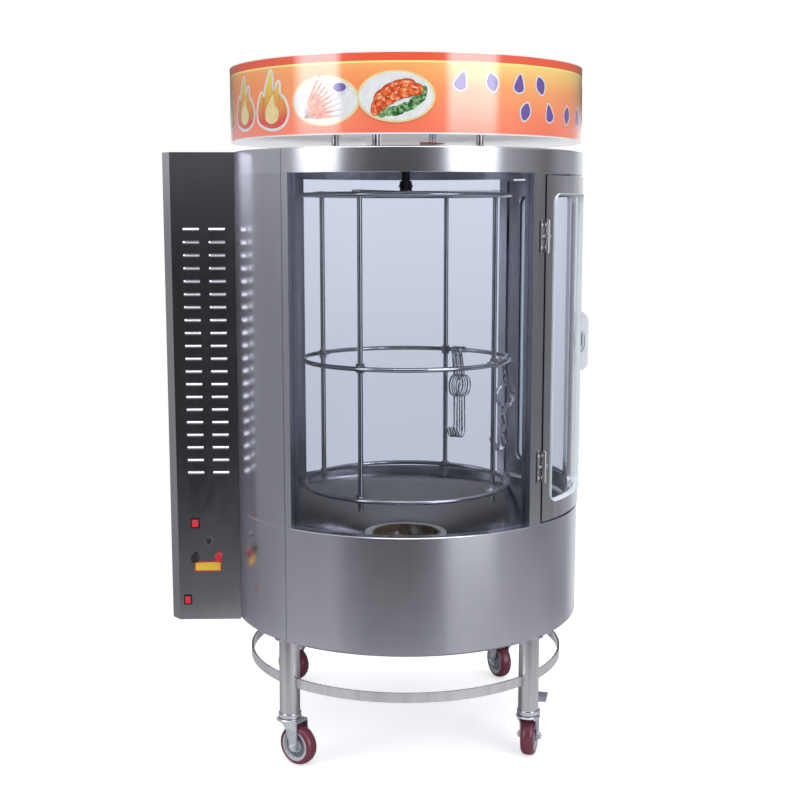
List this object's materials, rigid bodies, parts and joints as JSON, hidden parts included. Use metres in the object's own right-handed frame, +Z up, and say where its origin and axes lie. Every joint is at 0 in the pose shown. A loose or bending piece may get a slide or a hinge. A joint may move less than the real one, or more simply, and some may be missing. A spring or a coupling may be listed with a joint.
{
  "type": "rotisserie oven",
  "caption": "Round glazed rotating roasting oven on swivel casters, with hanging cage, wire hooks, lit sign drum and louvred burner box.",
  "frame": {"origin": "floor level, at the centre of the plan's bounding box", "axes": "+Z up, front window faces -Y, doors on +X, burner box on -X"},
  "size_m": [1.0221, 0.85, 1.62],
  "materials": {
    "black_plastic": "satin",
    "black_steel": "black oxide",
    "brass": "turned",
    "ceramic": "perforated ceramic",
    "enamel": "vitreous enamel",
    "handle_plastic": "satin",
    "hub_grey": "moulded",
    "label": "printed plate",
    "motor": "gloss enamel",
    "red_plastic": "gloss",
    "sign_face": "printed acrylic",
    "sign_white": "gloss",
    "stainless": "vertically brushed stainless sheet",
    "stainless_dark": "brushed stainless, heat-toned",
    "tyre_red": "polyurethane, satin",
    "window_glass": "clear tempered glass",
    "wire": "drawn stainless wire",
    "zinc": "zinc plated pressed steel"
  },
  "bodies": {
    "oven": {"leg_frame": "stainless", "base_skirt": "stainless", "oven_floor": "stainless_dark", "header_band": "stainless", "ceiling_plate": "stainless_dark", "roof_plate": "stainless", "side_wall": "stainless", "inner_liner": "stainless_dark", "window_posts": "stainless", "front_glass": "window_glass", "back_glass": "window_glass", "post_hinges": "stainless", "sign_base": "sign_white", "sign_skin": "sign_face", "sign_lid": "sign_white", "sign_stands": "stainless", "gearmotor": "motor", "box_cover": "stainless", "box_floor": "stainless", "cable_gland": "black_plastic", "burner_casing": "stainless_dark", "burner_tiles": "ceramic", "gas_manifold": "brass", "control_bezels": "black_plastic", "caution_plate": "label"},
    "caster_fl": {"caster_fl_fork": "zinc"},
    "wheel_fl": {"caster_fl_hub": "hub_grey", "caster_fl_tyre": "tyre_red"},
    "caster_fr": {"caster_fr_fork": "zinc"},
    "wheel_fr": {"caster_fr_hub": "hub_grey", "caster_fr_tyre": "tyre_red"},
    "brake_fr": {"brake_pedal_fr": "zinc"},
    "caster_bl": {"caster_bl_fork": "zinc"},
    "wheel_bl": {"caster_bl_hub": "hub_grey", "caster_bl_tyre": "tyre_red"},
    "caster_br": {"caster_br_fork": "zinc"},
    "wheel_br": {"caster_br_hub": "hub_grey", "caster_br_tyre": "tyre_red"},
    "brake_br": {"brake_pedal_br": "zinc"},
    "oil_bowl": {"oil_bowl": "enamel"},
    "door_front": {"door_front_frame": "stainless", "door_front_glass": "window_glass", "door_front_handle": "handle_plastic", "door_front_hinges": "stainless"},
    "door_rear": {"door_rear_frame": "stainless", "door_rear_glass": "window_glass", "door_rear_handle": "handle_plastic", "door_rear_hinges": "stainless"},
    "cage": {"drive_shaft": "black_steel", "cage_top_ring": "wire", "cage_middle_ring": "wire", "cage_bottom_ring": "wire", "cage_rods": "wire"},
    "hooks_rear": {"hook_bunch_rear": "wire"},
    "hooks_right": {"hook_bunch_right": "wire"},
    "power_rocker": {"power_rocker": "red_plastic"},
    "lamp_rocker": {"lamp_rocker": "red_plastic"},
    "igniter_button": {"igniter_button": "black_plastic"},
    "gas_knob": {"gas_knob": "black_plastic"},
    "valve_lever": {"valve_lever": "red_plastic"}
  },
  "joints": [
    {"name": "swivel_fl", "type": "hinge", "parent": "oven", "child": "caster_fl", "pos_m": [-0.22045, -0.26708, 0.1], "axis": [0, 0, 1], "continuous": true},
    {"name": "roll_fl", "type": "hinge", "parent": "caster_fl", "child": "wheel_fl", "pos_m": [-0.20075, -0.28247, 0.0475], "axis": [0.6157, 0.788, 0], "continuous": true},
    {"name": "swivel_fr", "type": "hinge", "parent": "oven", "child": "caster_fr", "pos_m": [0.34244, -0.26708, 0.1], "axis": [0, 0, 1], "continuous": true},
    {"name": "roll_fr", "type": "hinge", "parent": "caster_fr", "child": "wheel_fr", "pos_m": [0.34975, -0.24317, 0.0475], "axis": [-0.9563, 0.2924, 0], "continuous": true},
    {"name": "brake_fr", "type": "hinge", "parent": "caster_fr", "child": "brake_fr", "pos_m": [0.35531, -0.225, 0.1], "axis": [-0.9563, 0.2924, 0], "range_deg": [0, 12]},
    {"name": "swivel_bl", "type": "hinge", "parent": "oven", "child": "caster_bl", "pos_m": [-0.22045, 0.26708, 0.1], "axis": [0, 0, 1], "continuous": true},
    {"name": "roll_bl", "type": "hinge", "parent": "caster_bl", "child": "wheel_bl", "pos_m": [-0.24015, 0.28247, 0.0475], "axis": [-0.6157, -0.788, 0], "continuous": true},
    {"name": "swivel_br", "type": "hinge", "parent": "oven", "child": "caster_br", "pos_m": [0.34244, 0.26708, 0.1], "axis": [0, 0, 1], "continuous": true},
    {"name": "roll_br", "type": "hinge", "parent": "caster_br", "child": "wheel_br", "pos_m": [0.33268, 0.29009, 0.0475], "axis": [-0.9205, -0.3907, 0], "continuous": true},
    {"name": "brake_br", "type": "hinge", "parent": "caster_br", "child": "brake_br", "pos_m": [0.32525, 0.30758, 0.1], "axis": [-0.9205, -0.3907, 0], "range_deg": [0, 12]},
    {"name": "bowl_lift", "type": "slide", "parent": "oven", "child": "oil_bowl", "axis": [0, 0, 1], "range_m": [0, 0.09]},
    {"name": "door_front_hinge", "type": "hinge", "parent": "oven", "child": "door_front", "pos_m": [0.36638, -0.30698, 0.9725], "axis": [0, 0, -1], "range_deg": [0, 105]},
    {"name": "door_rear_hinge", "type": "hinge", "parent": "oven", "child": "door_rear", "pos_m": [0.36638, 0.30698, 0.9725], "axis": [0, 0, 1], "range_deg": [0, 105]},
    {"name": "cage_turn", "type": "hinge", "parent": "oven", "child": "cage", "pos_m": [0.061, 0, 1.34], "axis": [0, 0, 1], "continuous": true},
    {"name": "hooks_rear_swing", "type": "hinge", "parent": "cage", "child": "hooks_rear", "pos_m": [0.21615, 0.19858, 0.928], "axis": [-0.788, 0.6157, 0], "range_deg": [-6, 6]},
    {"name": "hooks_right_swing", "type": "hinge", "parent": "cage", "child": "hooks_right", "pos_m": [0.31266, 0.01319, 0.928], "axis": [-0.0523, 0.9986, 0], "range_deg": [-6, 6]},
    {"name": "power_rocker_tilt", "type": "hinge", "parent": "oven", "child": "power_rocker", "pos_m": [-0.4505, -0.126, 0.545], "axis": [1, 0, 0], "range_deg": [-7, 7]},
    {"name": "lamp_rocker_tilt", "type": "hinge", "parent": "oven", "child": "lamp_rocker", "pos_m": [-0.472, -0.126, 0.355], "axis": [1, 0, 0], "range_deg": [-7, 7]},
    {"name": "igniter_button_press", "type": "slide", "parent": "oven", "child": "igniter_button", "axis": [0, 1, 0], "range_m": [0, 0.004], "stiffness_N_per_m": 300},
    {"name": "gas_knob_turn", "type": "hinge", "parent": "oven", "child": "gas_knob", "pos_m": [-0.452, -0.13, 0.459], "axis": [0, -1, 0], "range_deg": [0, 270]},
    {"name": "valve_lever_turn", "type": "hinge", "parent": "oven", "child": "valve_lever", "pos_m": [-0.3955, -0.13, 0.464], "axis": [0, -1, 0], "range_deg": [0, 90]}
  ]
}
